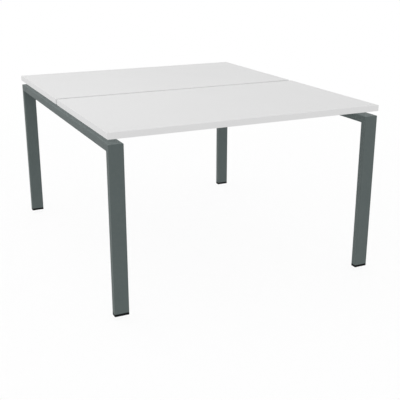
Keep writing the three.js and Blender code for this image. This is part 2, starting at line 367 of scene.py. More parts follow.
def tube(name, size, settings, low, high):
    """A rectangular tube along Z. Low and high give the height of each end at a point of its section."""
    wall = settings.wall
    joint = settings.joint
    loops = []
    for inset, end, back in ((joint, low, 0), (0, low, joint), (0, high, -joint), (joint, high, 0),
                             (wall, high, 0), (wall, low, 0)):
        section = rounded_loop(size, settings.corner, inset, 0)
        loops.append([Vector((p.x, p.y, end(p) + back)) for p in section])
    return loft(name, loops, wrap=True)


def linked(name, data):
    """A new object in the scene."""
    item = bpy.data.objects.new(name, data)
    bpy.context.scene.collection.objects.link(item)
    return item


def drilled(mesh, bits):
    """The mesh with upright holes in it. Each bit is a radius, the x and y of its axis and two heights."""
    bm = bmesh.new()
    for radius, x, y, low, high in bits:
        bmesh.ops.create_cone(
            bm, cap_ends=True, segments=ROUND_SIDES, radius1=radius, radius2=radius, depth=high - low,
            matrix=Matrix.Translation((x, y, (low + high) / 2)))
    cutter = linked("drill", mesh_from("drill", bm))
    blank = linked("blank", mesh)
    drill = blank.modifiers.new("Drill", "BOOLEAN")
    drill.operation = "DIFFERENCE"
    drill.solver = "EXACT"
    drill.object = cutter
    depsgraph = bpy.context.evaluated_depsgraph_get()
    result = bpy.data.meshes.new_from_object(blank.evaluated_get(depsgraph))
    result.name = mesh.name
    for item in (cutter, blank):
        spent = item.data
        bpy.data.objects.remove(item)
        bpy.data.meshes.remove(spent)
    return creased(result)


def over(node, height, turned=False):
    """The place at a height in the middle of a CAD node's plan, turned half round where that is asked."""
    middle = middle_of(node)
    place = Matrix.Translation((middle.x, middle.y, height))
    return place @ HALF_TURN if turned else place


def put(name, mesh, place, finish, body, *nodes):
    """One piece of the desk, in its place on its body. It stands for the CAD nodes named."""
    if not mesh.materials:
        mesh.materials.append(finish)
    piece = linked(name, mesh)
    piece.matrix_world = place
    even = piece.modifiers.new("Even normals", "WEIGHTED_NORMAL")
    even.keep_sharp = True
    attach(piece, body)
    if nodes:
        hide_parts(*nodes)
    return piece


def dress(node, kind, mesh, finish, height, turned=False, body=DESK):
    """One piece of some kind in the place of a CAD node, with its origin at a height."""
    put(f"{node}_{kind}", mesh, over(node, height, turned), finish, body, node)


# Shader nodes and groups

WHITE = (1.0, 1.0, 1.0, 1.0)

# Sockets of a Mix node that is set to colours, which share their names with its other sockets
MIX_FACTOR, MIX_FIRST, MIX_SECOND, MIX_RESULT = 0, 6, 7, 2


def rgba(colour):
    """A setting's colour with full alpha."""
    return (*colour, 1.0)


def connect(tree, value, socket):
    """Give a socket a value, which is another socket or a constant."""
    if isinstance(value, bpy.types.NodeSocket):
        tree.links.new(value, socket)
    else:
        socket.default_value = value


def add_node(tree, kind, output, inputs=None, **options):
    """A shader node with its options and inputs, which are sockets or constants. Returns its output."""
    node = tree.nodes.new(f"ShaderNode{kind}")
    for option, value in options.items():
        setattr(node, option, value)
    for label, value in (inputs or {}).items():
        connect(tree, value, node.inputs[label])
    return node.outputs[output]


def maths(tree, operation, *values):
    """A sum on values, each a socket or a number."""
    return add_node(tree, "Math", "Value", dict(enumerate(values)), operation=operation)


def piece_point(tree):
    """A point on the piece, shifted from one piece to the next so that no two show the same pattern."""
    point = add_node(tree, "TexCoord", "Object")
    chance = add_node(tree, "ObjectInfo", "Random")
    return add_node(tree, "VectorMath", "Vector", {0: point, 1: chance}, operation="ADD")


def noise(tree, point, scale, detail):
    """Noise from 0 to 1 at a point."""
    return add_node(tree, "TexNoise", "Fac", {"Vector": point, "Scale": scale, "Detail": detail})


def cloud(tree, scale, detail):
    """Noise from -1 to 1 over a piece."""
    return maths(tree, "MULTIPLY_ADD", noise(tree, piece_point(tree), scale, detail), 2.0, -1.0)


def shared(kind):
    """Decorates a maker, so that what it makes is kept under the maker's name and shared after that."""
    def decorate(maker):
        @functools.wraps(maker)
        def made(*settings):
            items = getattr(bpy.data, kind)
            if maker.__name__ not in items:
                maker(maker.__name__, *settings)
            return items[maker.__name__]
        return made
    return decorate


def new_group(name, inputs, output):
    """A shader group with named inputs, given as label: value, and one output, given as label: kind."""
    tree = bpy.data.node_groups.new(name, "ShaderNodeTree")
    kinds = {3: "NodeSocketVector", 4: "NodeSocketColor"}
    for label, value in inputs.items():
        width = len(value) if isinstance(value, tuple) else 1
        socket = tree.interface.new_socket(
            label, in_out="INPUT", socket_type=kinds.get(width, "NodeSocketFloat"))
        socket.default_value = value
    (label, kind), = output.items()
    tree.interface.new_socket(label, in_out="OUTPUT", socket_type=kind)
    enter = tree.nodes.new("NodeGroupInput")
    leave = tree.nodes.new("NodeGroupOutput")
    return tree, enter.outputs, leave.inputs[label]


@shared("node_groups")
def tint_drift(name):
    """Group: a colour that drifts a little lighter and darker over a piece."""
    tree, enter, leave = new_group(
        name, {"Tint": (0.5, 0.5, 0.5, 1.0), "Amount": 0.05, "Scale": 5.0}, {"Tint": "NodeSocketColor"})
    level = maths(tree, "MULTIPLY_ADD", cloud(tree, enter["Scale"], detail=3.0), enter["Amount"], 1.0)
    tint = add_node(
        tree, "VectorMath", "Vector", {"Vector": enter["Tint"], "Scale": level}, operation="SCALE")
    tree.links.new(tint, leave)


@shared("node_groups")
def satin(name):
    """Group: a roughness that handling and cleaning have made uneven."""
    tree, enter, leave = new_group(
        name, {"Roughness": 0.5, "Amount": 0.05, "Scale": 8.0}, {"Roughness": "NodeSocketFloat"})
    uneven = cloud(tree, enter["Scale"], detail=4.0)
    tree.links.new(maths(tree, "MULTIPLY_ADD", uneven, enter["Amount"], enter["Roughness"]), leave)


@shared("node_groups")
def fine_grain(name):
    """Group: the height of a fine grain in two sizes, which may be drawn out along one direction."""
    tree, enter, leave = new_group(
        name, {"Stretch": (1.0, 1.0, 1.0), "Scale": 500.0, "Fine Scale": 1500.0, "Fine Share": 0.4},
        {"Height": "NodeSocketFloat"})
    point = add_node(
        tree, "VectorMath", "Vector", {0: piece_point(tree), 1: enter["Stretch"]}, operation="MULTIPLY")
    coarse = noise(tree, point, enter["Scale"], detail=1.0)
    fine = noise(tree, point, enter["Fine Scale"], detail=1.0)
    tree.links.new(
        add_node(tree, "Mix", "Result", {"Factor": enter["Fine Share"], "A": coarse, "B": fine}), leave)


@shared("node_groups")
def rubbed_arris(name):
    """Group: a mask of the outer arrises that hands, feet and brooms rub, broken up by noise."""
    tree, enter, leave = new_group(
        name, {"Amount": 0.5, "Start": 0.51, "Full": 0.6, "Scale": 60.0}, {"Mask": "NodeSocketFloat"})
    sharpness = add_node(tree, "NewGeometry", "Pointiness")
    arris = add_node(
        tree, "MapRange", "Result",
        {"Value": sharpness, "From Min": enter["Start"], "From Max": enter["Full"]})
    broken = maths(tree, "MULTIPLY", arris, noise(tree, piece_point(tree), enter["Scale"], detail=5.0))
    tree.links.new(maths(tree, "MULTIPLY", broken, enter["Amount"]), leave)


# Finishes

class Finish:
    """A material being made: its tree and its shader."""

    def __init__(self, name):
        material = bpy.data.materials.new(name)
        material.use_nodes = True
        self.tree = material.node_tree
        self.shader = self.tree.nodes["Principled BSDF"]

    def effect(self, group, **values):
        """Place a group with its own values, and return its output."""
        node = self.tree.nodes.new("ShaderNodeGroup")
        node.node_tree = group()
        for label, value in values.items():
            connect(self.tree, value, node.inputs[label.replace("_", " ").title()])
        return node.outputs[0]

    def feed(self, label, value):
        """Give one of the shader's sockets an output or a constant."""
        connect(self.tree, value, self.shader.inputs[label])

    def bump(self, depth, **grain):
        """Let a fine grain of some depth move the shader's normal."""
        height = self.effect(fine_grain, **grain)
        self.feed("Normal", add_node(self.tree, "Bump", "Normal", {"Height": height, "Distance": depth}))

    def worn(self, tint, mask, bare):
        """A colour that gives way to a worn one where a mask says so."""
        inputs = {MIX_FACTOR: mask, MIX_FIRST: tint, MIX_SECOND: rgba(bare)}
        return add_node(self.tree, "Mix", MIX_RESULT, inputs, data_type="RGBA")


@shared("materials")
def white_melamine(name, settings):
    """Melamine facing with a faint pearl in its surface."""
    finish = Finish(name)
    finish.feed("Base Color", finish.effect(tint_drift, tint=rgba(settings.facing), amount=0.012, scale=3.0))
    finish.feed("Roughness", finish.effect(satin, roughness=0.44, amount=0.05, scale=5.0))
    finish.bump(depth=0.00008, scale=420.0, fine_scale=1400.0, fine_share=0.35)


@shared("materials")
def white_edging(name, settings):
    """Extruded edging, with faint lines along its length."""
    finish = Finish(name)
    finish.feed("Base Color", finish.effect(tint_drift, tint=rgba(settings.edging), amount=0.015, scale=6.0))
    finish.feed("Roughness", finish.effect(satin, roughness=0.64, amount=0.06, scale=12.0))
    finish.bump(depth=0.00002, stretch=(0.02, 1.0, 1.0), scale=900.0, fine_scale=2600.0, fine_share=0.5)


@shared("materials")
def powder_coat(name, settings):
    """Green-grey powder coat with a fine orange peel, a little lighter along its arrises."""
    finish = Finish(name)
    drift = finish.effect(tint_drift, tint=rgba(settings.coat), amount=0.05, scale=9.0)
    # A fine speckle in the coat's colour, partly real speckle and partly painted shade standing in for the
    # small shadows of the orange peel
    speckle_and_peel_shade = finish.effect(tint_drift, tint=drift, amount=0.16, scale=1100.0)
    rub = finish.effect(rubbed_arris, amount=0.6, start=0.505, full=0.56, scale=90.0)
    finish.feed("Base Color", finish.worn(speckle_and_peel_shade, rub, settings.coat_rub))
    finish.feed("Roughness", finish.effect(satin, roughness=0.62, amount=0.07, scale=14.0))
    finish.bump(depth=0.0002, scale=520.0, fine_scale=1700.0, fine_share=0.45)


@shared("materials")
def zinc_plate(name, settings):
    """Bright zinc plate, clouded by its passivation."""
    finish = Finish(name)
    finish.feed("Metallic", 1.0)
    finish.feed("Base Color", finish.effect(tint_drift, tint=rgba(settings.zinc), amount=0.12, scale=180.0))
    finish.feed("Roughness", finish.effect(satin, roughness=0.34, amount=0.10, scale=260.0))
    finish.bump(depth=0.00002, scale=1500.0, fine_scale=5000.0, fine_share=0.5)


@shared("materials")
def black_plastic(name, settings):
    """Black moulded plastic with a fine spark-eroded texture and scuffed arrises."""
    finish = Finish(name)
    finish.feed("Specular IOR Level", 0.05)
    tint = finish.effect(tint_drift, tint=rgba(settings.plastic), amount=0.10, scale=40.0)
    scuffs = finish.effect(rubbed_arris, amount=0.7, start=0.52, full=0.62, scale=220.0)
    finish.feed("Base Color", finish.worn(tint, scuffs, settings.scuff))
    finish.feed("Roughness", finish.effect(satin, roughness=0.58, amount=0.08, scale=70.0))
    finish.bump(depth=0.00005, scale=1800.0, fine_scale=4500.0, fine_share=0.4)


# Worktops

class DESK_OT_boards(Operator):
    """Face the two worktop boards, whose CAD shape stays, with white melamine"""
    bl_idname = "desk.face_boards"
    bl_label = "Worktop boards"

    def execute(self, context):
        facing = white_melamine(context.scene.bench_desk.worktop)
        for user in USERS:
            board = frame["nodes"][f"{user}_worktop_board"]
            # Out of reflections, so that the frames' gloss doesn't take on the tops' dark undersides
            board.visible_glossy = False
            for slot in board.material_slots:
                slot.material = facing
        return {"FINISHED"}


class DESK_OT_edging(Operator):
    """Lay the plastic edging round both worktops"""
    bl_idname = "desk.add_edging"
    bl_label = "Edging strips"

    def strip(self, name, size, radius, round_ends):
        """A strip along X with its glued face at y = 0, its outer face towards -Y and its middle at z = 0."""
        bm = bmesh.new()
        box = Matrix.Translation((0, -size.y / 2, 0)) @ Matrix.Diagonal((*size, 1))
        bmesh.ops.create_cube(bm, size=1.0, matrix=box)
        outer = []
        for edge in bm.edges:
            middle = (edge.verts[0].co + edge.verts[1].co) / 2
            at_end = abs(middle.x) > (size.x - radius) / 2
            on_face = middle.y < radius / 2 - size.y
            on_glue = middle.y > -radius / 2
            if not on_glue and (round_ends if at_end else on_face):
                outer.append(edge)
        round_edges(bm, outer, radius)
        return mesh_from(name, bm)

    def execute(self, context):
        settings = context.scene.bench_desk.worktop
        size = size_of("front_worktop_front_edging")
        short_size = size_of("front_worktop_left_edging").yxz
        long_strip = self.strip("long_edging", size, settings.edging_radius, round_ends=True)
        short_strip = self.strip("short_edging", short_size, settings.edging_radius, round_ends=False)
        sides = {"front": long_strip, "right": short_strip, "rear": long_strip, "left": short_strip}
        to_glue = Matrix.Translation((0, size.y / 2, 0))
        for user in USERS:
            for quarter, (side, strip) in enumerate(sides.items()):
                node = f"{user}_worktop_{side}_edging"
                turn = Matrix.Rotation(quarter * math.pi / 2, 4, "Z")
                place = Matrix.Translation(middle_of(node)) @ turn @ to_glue
                piece = put(f"{node}_strip", strip, place, white_edging(settings), DESK, node)
                piece.visible_glossy = False
        return {"FINISHED"}


# End frames and rails

# A weld's least size at its ends and the swell of a fillet's face, as shares of its full size
FILLET_END = 1 / 6
FILLET_BULGE = 1 / 8
BEAD_END = 1 / 4


def weld_size(step, steps, swell, near_end, least):
    """A weld's size at a step, as a share: it swells with its ripples and draws in at its ends."""
    taper = math.sqrt(1 - (1 - min(near_end, 1.0)) ** 2)
    return max(taper, least) * (1 + swell * math.cos(math.tau * step / steps))


class DESK_OT_legs(Operator):
    """Make the four legs in rectangular tube, mitred at the top"""
    bl_idname = "desk.add_legs"
    bl_label = "Legs"

    def execute(self, context):
        settings = context.scene.bench_desk.frames
        leg = tube(
            "leg_tube", TUBE, settings,
            lambda point: LEG_LOW.z,
            lambda point: FRAME_TOP - TUBE.y / 2 - point.y)
        for corner in CORNERS:
            dress(f"{corner}_leg", "tube", leg, powder_coat(settings), 0, turned="rear" in corner)
        return {"FINISHED"}


class DESK_OT_beams(Operator):
    """Make the two cross beams, mitred to the legs and drilled for the bracket bolts"""
    bl_idname = "desk.add_cross_beams"
    bl_label = "Cross beams"

    def execute(self, context):
        settings = context.scene.bench_desk.frames
        half = TUBE.y / 2
        beam = tube(
            "beam_tube", TUBE, settings,
            lambda point: half - point.y - FRAME_REACH,
            lambda point: FRAME_REACH - half + point.y)
        beam.transform(UPRIGHT_TO_Y)
        middle = middle_of("left_cross_beam")
        bits = []
        for rail in RAILS:
            hole = middle_of(f"{rail}_left_bolt") - middle
            bits.append((settings.bolt_hole, hole.x, hole.y, 0, TUBE.y))
        beam = drilled(beam, bits)
        for end in ENDS:
            node = f"{end}_cross_beam"
            dress(node, "tube", beam, powder_coat(settings), middle.z, turned=end == "right")
        return {"FINISHED"}


class DESK_OT_mitre_welds(Operator):
    """Run a fillet weld along the inside of each mitred corner"""
    bl_idname = "desk.add_mitre_welds"
    bl_label = "Corner welds"
    ripple: FloatProperty(name="Ripple", description="Length of one ripple", default=0.0024, unit="LENGTH")
    swell: FloatProperty(name="Swell", description="How much a ripple swells", default=0.05)
    steps: IntProperty(name="Steps", description="Steps in one ripple", default=5)

    def fillet(self, leg, sunk, length):
        """A convex fillet along X in the corner between z = 0, above it, and y = 0, in front of it."""
        count = round(length / self.ripple) * self.steps
        loops = []
        for step in range(count + 1):
            x = length * (step / count - 0.5)
            size = leg * weld_size(step, self.steps, self.swell, (length / 2 - abs(x)) / leg, FILLET_END)
            loop = [Vector((x, -sunk, sunk)), Vector((x, size, sunk))]
            for part in range(CORNER_STEPS + 1):
                share = part / CORNER_STEPS
                bulge = size * FILLET_BULGE * math.sin(share * math.pi)
                loop.append(Vector((x, size * (1 - share) + bulge, -size * share - bulge)))
            loop.append(Vector((x, -sunk, -size)))
            loops.append(loop)
        return loft("mitre_weld", loops)

    def execute(self, context):
        settings = context.scene.bench_desk.frames
        weld = self.fillet(settings.weld, settings.weld_root, TUBE.x - 4 * settings.corner)
        to_inside = Matrix.Translation((0, TUBE.y / 2, 0))
        for corner in CORNERS:
            place = over(f"{corner}_leg", FRAME_TOP - TUBE.y, turned="rear" in corner) @ to_inside
            put(f"{corner}_mitre_weld", weld, place, powder_coat(settings), DESK)
        return {"FINISHED"}


class DESK_OT_rails(Operator):
    """Make the four rails under the worktops, drilled for the screws and the driver"""
    bl_idname = "desk.add_rails"
    bl_label = "Rails"

    def execute(self, context):
        settings = context.scene.bench_desk.frames
        half = -BRACKET_HIGH.x
        rail = tube("rail_tube", RAIL.yz, settings, lambda point: -half, lambda point: half)
        rail.transform(UPRIGHT_TO_X)
        bits = []
        for screw in SCREWS:
            x = middle_of(f"{RAILS[0]}_{screw}").x
            bits.append((settings.shank_hole, x, 0, 0, RAIL.z))
            bits.append((settings.driver_hole, x, 0, -RAIL.z, 0))
        rail = drilled(rail, bits)
        for node in RAILS:
            dress(node, "tube", rail, powder_coat(settings), middle_of(node).z)
        return {"FINISHED"}


class DESK_OT_brackets(Operator):
    """Make the eight brackets that hook the rails over the cross beams"""
    bl_idname = "desk.add_brackets"
    bl_label = "Rail brackets"

    def outline(self, settings):
        """The bracket's profile in X, from the bracket's middle, and Z, from the beam's top."""
        plate = BRACKET.x / 2
        inner = plate - settings.plate
        low = BRACKET_LOW.z - FRAME_TOP
        high = BRACKET_HIGH.z - FRAME_TOP
        # The CAD bracket is clear of the beam by a small gap, over which this tongue comes down
        gap = BRACKET_HIGH.x - settings.plate - BEAM_FACE
        tongue = gap + settings.tongue
        points = [(plate, low), (plate, high), (inner, high)]
        for inward, along in quarter_arc(CORNER_STEPS):
            points.append((inner - settings.bend * along, tongue + settings.bend * inward))
        return points + [(-plate, tongue), (-plate, 0), (inner, 0), (inner, low)]

    def plate_mesh(self, settings):
        """The profile drawn out across the rail's width, with round corners on the tongue and the plate."""
        half = BRACKET.y / 2
        end = BRACKET.x / 2
        small = settings.joint
        bm = bmesh.new()
        points = [bm.verts.new((x, -half, z)) for x, z in self.outline(settings)]
        bmesh.ops.extrude_face_region(bm, geom=[bm.faces.new(points)])
        bm.verts.ensure_lookup_table()
        for vertex in bm.verts[len(points):]:
            vertex.co.y = half
        tongue_ends = []
        plate_corners = []
        for edge in bm.edges:
            first, second = (vertex.co for vertex in edge.verts)
            if abs(first.y - second.y) > small:
                continue
            if max(first.x, second.x) < small - end:
                tongue_ends.append(edge)
            elif abs(first.z - second.z) < small and max(first.x, second.x) > end - small:
                plate_corners.append(edge)
        round_edges(bm, tongue_ends, settings.tongue_radius)
        round_edges(bm, [edge for edge in plate_corners if edge.is_valid], settings.corner)
        return mesh_from("bracket_plate", bm)

    def execute(self, context):
        settings = context.scene.bench_desk.frames
        near = RAIL_ENDS[0]
        hole = middle_of(f"{near}_bolt").x - middle_of(f"{near}_bracket").x
        bit = (settings.bolt_hole, hole, 0, -settings.tongue, 3 * settings.tongue)
        bracket = drilled(self.plate_mesh(settings), [bit])
        for name in RAIL_ENDS:
            node = f"{name}_bracket"
            dress(node, "plate", bracket, powder_coat(settings), FRAME_TOP, turned="right" in name)
        return {"FINISHED"}


class DESK_OT_rail_beads(Operator):
    """Run a weld bead round each rail's end, leaving the top flush for the worktop"""
    bl_idname = "desk.add_rail_beads"
    bl_label = "Rail weld beads"
    ripple: FloatProperty(name="Ripple", description="Length of one ripple", default=0.0022, unit="LENGTH")
    swell: FloatProperty(name="Swell", description="How much a ripple swells", default=0.12)
    steps: IntProperty(name="Steps", description="Steps in one ripple", default=4)

    def route(self, radius):
        """Points and outward directions down one side of the rail, under it and up the other side."""
        flat = RAIL.y / 2 - radius
        turn = radius * math.pi / 2
        reach = flat + turn + RAIL.z - 2 * radius
        count = round(2 * reach * self.steps / self.ripple)
        for step in range(count + 1):
            along = reach * (1 - 2 * step / count)
            far = abs(along)
            angle = min(max(far - flat, 0.0) / radius, math.pi / 2)
            out = Vector((math.sin(angle), -math.cos(angle)))
            rise = max(far - flat - turn, 0.0)
            point = Vector((min(far, flat), radius - RAIL.z / 2 + rise)) + radius * out
            side = Vector((math.copysign(1, along), 1))
            yield point * side, out * side

    def bead(self, settings):
        """The bead about the rail's axis, X."""
        half = settings.bead
        height = settings.bead_height
        route = list(self.route(settings.corner))
        arc = 2 * ARRIS_STEPS
        loops = []
        for step, (point, out) in enumerate(route):
            near_end = min(step, len(route) - 1 - step) / self.steps
            size = weld_size(step, self.steps, self.swell, near_end, BEAD_END)
            loop = []
            for part in range(arc + 1):
                angle = math.pi * part / arc
                rise = out * (height * size * math.sin(angle))
                loop.append(Vector((half * size * math.cos(angle), *(point + rise))))
            sunk = point - out * height / 2
            loop.append(Vector((-half * size, *sunk)))
            loop.append(Vector((half * size, *sunk)))
            loops.append(loop)
        return loft("rail_bead", loops)

    def execute(self, context):
        settings = context.scene.bench_desk.frames
        bead = self.bead(settings)
        to_rail = Matrix.Translation((BRACKET.x / 2, 0, 0))
        for name in RAIL_ENDS:
            place = over(f"{name}_bracket", middle_of(RAILS[0]).z, turned="right" in name) @ to_rail
            put(f"{name}_bead", bead, place, powder_coat(settings), DESK)
        return {"FINISHED"}


# Fastenings

# Threads: the depth as a share of the pitch, and the flats at crest and root as shares of a flank
THREAD_DEPTH = 0.61
THREAD_FLAT = 0.1

# Screw threads: the depth and the tip, as shares of the shank's radius
SCREW_DEPTH = 0.32
SCREW_TIP = 0.08

# Heads: the washer face as a share of the radius, the rims as shares of the height, and how much of a rim
# is eased
WASHER_FACE = 0.9
BOLT_RIM = 1 / 4
SCREW_RIM = 1 / 3
RIM_EASE = 1 / 4

# A head's flat top, as a share of its recess's reach
FLAT_TOP = 1.15

# Bolt socket: its mouth as a share of its width, its edge as a share of the mouth, and where its flats and
# its drilled point end, as shares of the head's height
SOCKET_MOUTH = 1.2
SOCKET_EDGE = 0.1
SOCKET_FLATS = 0.45
SOCKET_POINT = 0.32

# Cross recess: its reach as a share of the head's radius, its mouth as a share of that reach, and three
# sections from its top down, each an arm and a half width, as shares of the reach, and a share of the height
RECESS_REACH = 0.5
RECESS_MOUTH = 1.02
RECESS_SECTIONS = ((1.0, 0.24, 1.0), (0.8, 0.2, 0.5), (0.3, 0.12, 0.22))


def thread(radius, cut, turns):
    """The reach of a right-hand thread's section, some turns up its axis."""
    def reach(angle):
        phase = (turns - angle / math.tau) % 1
        groove = (abs(2 * phase - 1) - THREAD_FLAT) / (1 - 2 * THREAD_FLAT)
        return radius - cut * min(max(groove, 0.0), 1.0)
    return reach


def thread_sections(radius, cut, pitch, low, high, runout):
    """Heights and reaches of a thread along Z that runs out towards its upper end."""
    steps = round((high - low) / pitch * THREAD_STEPS)
    for step in range(steps + 1):
        height = low + (high - low) * step / steps
        fade = min((high - height) / runout, 1.0)
        yield height, thread(radius, cut * fade, height / pitch)


def threaded_shank(radius, cut, pitch, length, tip, tip_radius):
    """Loops up a shank that hangs from z = 0, from a tapered tip to a runout under the head."""
    loops = []
    for height, reach in thread_sections(radius, cut, pitch, -length, 0, 2 * pitch):
        taper = min((height + length) / tip, 1.0)
        loops.append(polar_loop(lesser(reach, tip_radius + (radius - tip_radius) * taper), height))
    return loops


def domed_head(radius, height, rim, flat, washer):
    """Loops up a domed head from its washer face to the edge of its flat top."""
    ease = RIM_EASE * rim
    face = WASHER_FACE * radius
    dome = [(radius - (radius - flat) * inward, height - (height - rim) * along)
            for inward, along in quarter_arc(CORNER_STEPS)]
    return polar_loops((face, -washer), (face, 0), (radius - ease, 0), (radius, ease), *reversed(dome))


class DESK_OT_bolts(Operator):
    """Make the eight button-head bolts that hold the brackets to the beams"""
    bl_idname = "desk.add_bolts"
    bl_label = "Bracket bolts"

    def bolt(self, settings, size):
        """A bolt with its head's underside at z = 0 and a hexagon socket in its head."""
        radius = settings.bolt_radius
        pitch = settings.bolt_pitch
        length = settings.bolt_length
        head = size.z - length
        socket = hexagon(settings.bolt_socket)
        mouth = SOCKET_MOUTH * settings.bolt_socket / 2
        edge = SOCKET_EDGE * mouth
        loops = threaded_shank(radius, THREAD_DEPTH * pitch, pitch, length, pitch, radius - pitch)
        loops += domed_head(size.x / 2, head, BOLT_RIM * head, FLAT_TOP * mouth, settings.washer_face)
        loops += polar_loops(
            (mouth, head), (lesser(socket, mouth), head - edge),
            (socket, SOCKET_FLATS * head), (edge, SOCKET_POINT * head))
        return loft("bolt_threaded", loops)

    def execute(self, context):
        settings = context.scene.bench_desk.fastenings
        bolt = self.bolt(settings, size_of(f"{RAIL_ENDS[0]}_bolt"))
        for name in RAIL_ENDS:
            node = f"{name}_bolt"
            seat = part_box(node)[0].z + settings.bolt_length
            dress(node, "threaded", bolt, zinc_plate(settings), seat)
        return {"FINISHED"}


class DESK_OT_screws(Operator):
    """Make the twelve pan-head screws that hold the worktops down"""
    bl_idname = "desk.add_screws"
    bl_label = "Worktop screws"

    def screw(self, settings, size):
        """A screw with its head's bearing face at z = 0, its head above and a cross recess in it."""
        radius = settings.screw_radius
        length = settings.screw_length
        head = size.z - length
        arm = RECESS_REACH * size.x / 2
        loops = threaded_shank(
            radius, SCREW_DEPTH * radius, settings.screw_pitch, length, settings.screw_point,
            SCREW_TIP * radius)
        loops += domed_head(size.x / 2, head, SCREW_RIM * head, FLAT_TOP * arm, settings.washer_face)
        loops += polar_loops((RECESS_MOUTH * arm, head))
        for reach, half_width, height in RECESS_SECTIONS:
            loops.append(polar_loop(cross(reach * arm, half_width * arm), height * head))
        return loft("screw_threaded", loops)

    def execute(self, context):
        settings = context.scene.bench_desk.fastenings
        screw = self.screw(settings, size_of(f"{RAILS[0]}_{SCREWS[0]}"))
        for rail in RAILS:
            for name in SCREWS:
                node = f"{rail}_{name}"
                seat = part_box(node)[1].z - settings.screw_length
                place = over(node, seat) @ POINT_UP
                put(f"{node}_threaded", screw, place, zinc_plate(settings), DESK, node)
        return {"FINISHED"}


# Levelling feet

# A plug's fin: where its root ends and where its crest starts and ends, as shares of the step between fins
FIN_ROOT = 0.35
FIN_CREST = 0.45
FIN_END = 0.60

# A stem's collar: its bearing face as a share of its inscribed circle, and its chamfer's height as a share of
# how far its points stand out
COLLAR_FACE = 0.96
COLLAR_SLOPE = 0.6


class DESK_OT_plugs(Operator):
    """Make the four finned plugs in the leg ends, whose rims show as black lines"""
    bl_idname = "desk.add_plugs"
    bl_label = "Leg plugs"
    fins: IntProperty(name="Fins", description="Fins that grip the leg's bore", default=4)

    def plug(self, settings, frames, size):
        """A plug with its rim's underside at z = 0, and a socket under it for the stem's collar."""
        bore = settings.stem_radius + settings.play / 2
        socket = settings.collar / 2 / math.cos(math.pi / 6) + settings.play
        roof = settings.collar_height + 2 * settings.play
        ease = settings.arris / 2
        fit = frames.wall + settings.play
        root = fit + settings.fin
        stride = (size.z - settings.rim) / self.fins
        fin = ((root, 0), (root, FIN_ROOT), (fit, FIN_CREST), (fit, FIN_END))
        body = []
        for count in range(self.fins):
            body += [(inset, settings.rim + (count + share) * stride) for inset, share in fin]
        body.append((root + ease, size.z))
        rim = block_sides(size, frames.corner, 0, settings.rim, ease)
        loops = [round_loop(rim[0], socket, ease), round_loop(rim[0], socket + ease, 0)] + rim
        loops += [rounded_loop(size, frames.corner, inset, height, settings.fin_corner)
                  for inset, height in body]
        bored = ((bore + ease, size.z), (bore, size.z - ease), (bore, roof), (socket, roof))
        loops += [round_loop(rim[0], radius, height) for radius, height in bored]
        return loft("plug_moulded", loops, wrap=True)

    def execute(self, context):
        desk = context.scene.bench_desk
        plug = self.plug(desk.feet, desk.frames, size_of("left_front_leg_plug"))
        for corner in CORNERS:
            node = f"{corner}_leg_plug"
            dress(node, "moulded", plug, black_plastic(desk.feet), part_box(node)[0].z)
        return {"FINISHED"}


class DESK_OT_feet(Operator):
    """Make the four foot blocks of the legs' own outline"""
    bl_idname = "desk.add_feet"
    bl_label = "Feet"

    def foot(self, settings, corner, size):
        """A foot on the floor, with a hollow that holds the stem's disc."""
        arris = settings.arris
        border = settings.sole_border
        deep = settings.sole_hollow
        hollow = settings.disc_radius + settings.play
        neck = settings.stem_radius + settings.play
        roof = size.z - settings.lip
        sole = ((border + 2 * deep, deep), (border + deep, deep), (border, 0))
        loops = [rounded_loop(size, corner, inset, height, arris) for inset, height in sole]
        loops += block_sides(size, corner, 0, size.z, arris)
        bored = ((neck + arris / 2, size.z), (neck, size.z - arris / 2), (neck, roof), (hollow, roof),
                 (hollow, settings.floor))
        loops += [round_loop(loops[0], radius, height) for radius, height in bored]
        return loft("foot_moulded", loops)

    def execute(self, context):
        desk = context.scene.bench_desk
        foot = self.foot(desk.feet, desk.frames.corner, size_of("left_front_foot"))
        for corner in CORNERS:
            node = f"{corner}_foot"
            dress(node, "moulded", foot, black_plastic(desk.feet), 0, body=node)
        return {"FINISHED"}


class DESK_OT_stems(Operator):
    """Make the four threaded stems that raise and lower the feet"""
    bl_idname = "desk.add_stems"
    bl_label = "Foot stems"

    def stem(self, settings, low, high):
        """A stem above the floor: a disc in the foot, a collar for a spanner and the threaded length."""
        radius = settings.stem_radius
        pitch = settings.stem_pitch
        cut = THREAD_DEPTH * pitch
        neck = radius - cut / 2
        disc = settings.disc_radius
        ease = settings.play
        disc_top = size_of("left_front_foot").z - settings.lip - settings.play
        collar_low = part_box("left_front_leg_plug")[0].z + settings.play
        collar_high = collar_low + settings.collar_height
        flats = hexagon(settings.collar)
        inscribed = settings.collar / 2
        chamfer = lesser(flats, inscribed)
        slope = COLLAR_SLOPE * (inscribed / math.cos(math.pi / 6) - inscribed)
        loops = polar_loops(
            (disc - ease, low), (disc, low + ease), (disc, disc_top - ease), (disc - ease, disc_top),
            (neck + ease, disc_top), (neck, disc_top + ease), (neck, collar_low),
            (COLLAR_FACE * inscribed, collar_low), (chamfer, collar_low + slope / 4),
            (flats, collar_low + slope), (flats, collar_high - slope),
            (chamfer, collar_high - slope / 4), (COLLAR_FACE * inscribed, collar_high),
            (radius - cut, collar_high))
        relief = collar_high + pitch
        for height, reach in thread_sections(radius, cut, pitch, relief, high, pitch / 4):
            from_end = min(high - height, height - relief) / pitch
            limit = radius - cut * (1 - min(from_end, 1.0))
            loops.append(polar_loop(lesser(reach, limit), height))
        return loft("stem_threaded", loops)

    def execute(self, context):
        desk = context.scene.bench_desk
        low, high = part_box("left_front_foot_stem")
        stem = self.stem(desk.feet, low.z, high.z)
        for corner in CORNERS:
            node = f"{corner}_foot_stem"
            dress(node, "threaded", stem, zinc_plate(desk.fastenings), 0, body=f"{corner}_stem")
        return {"FINISHED"}


# Stage

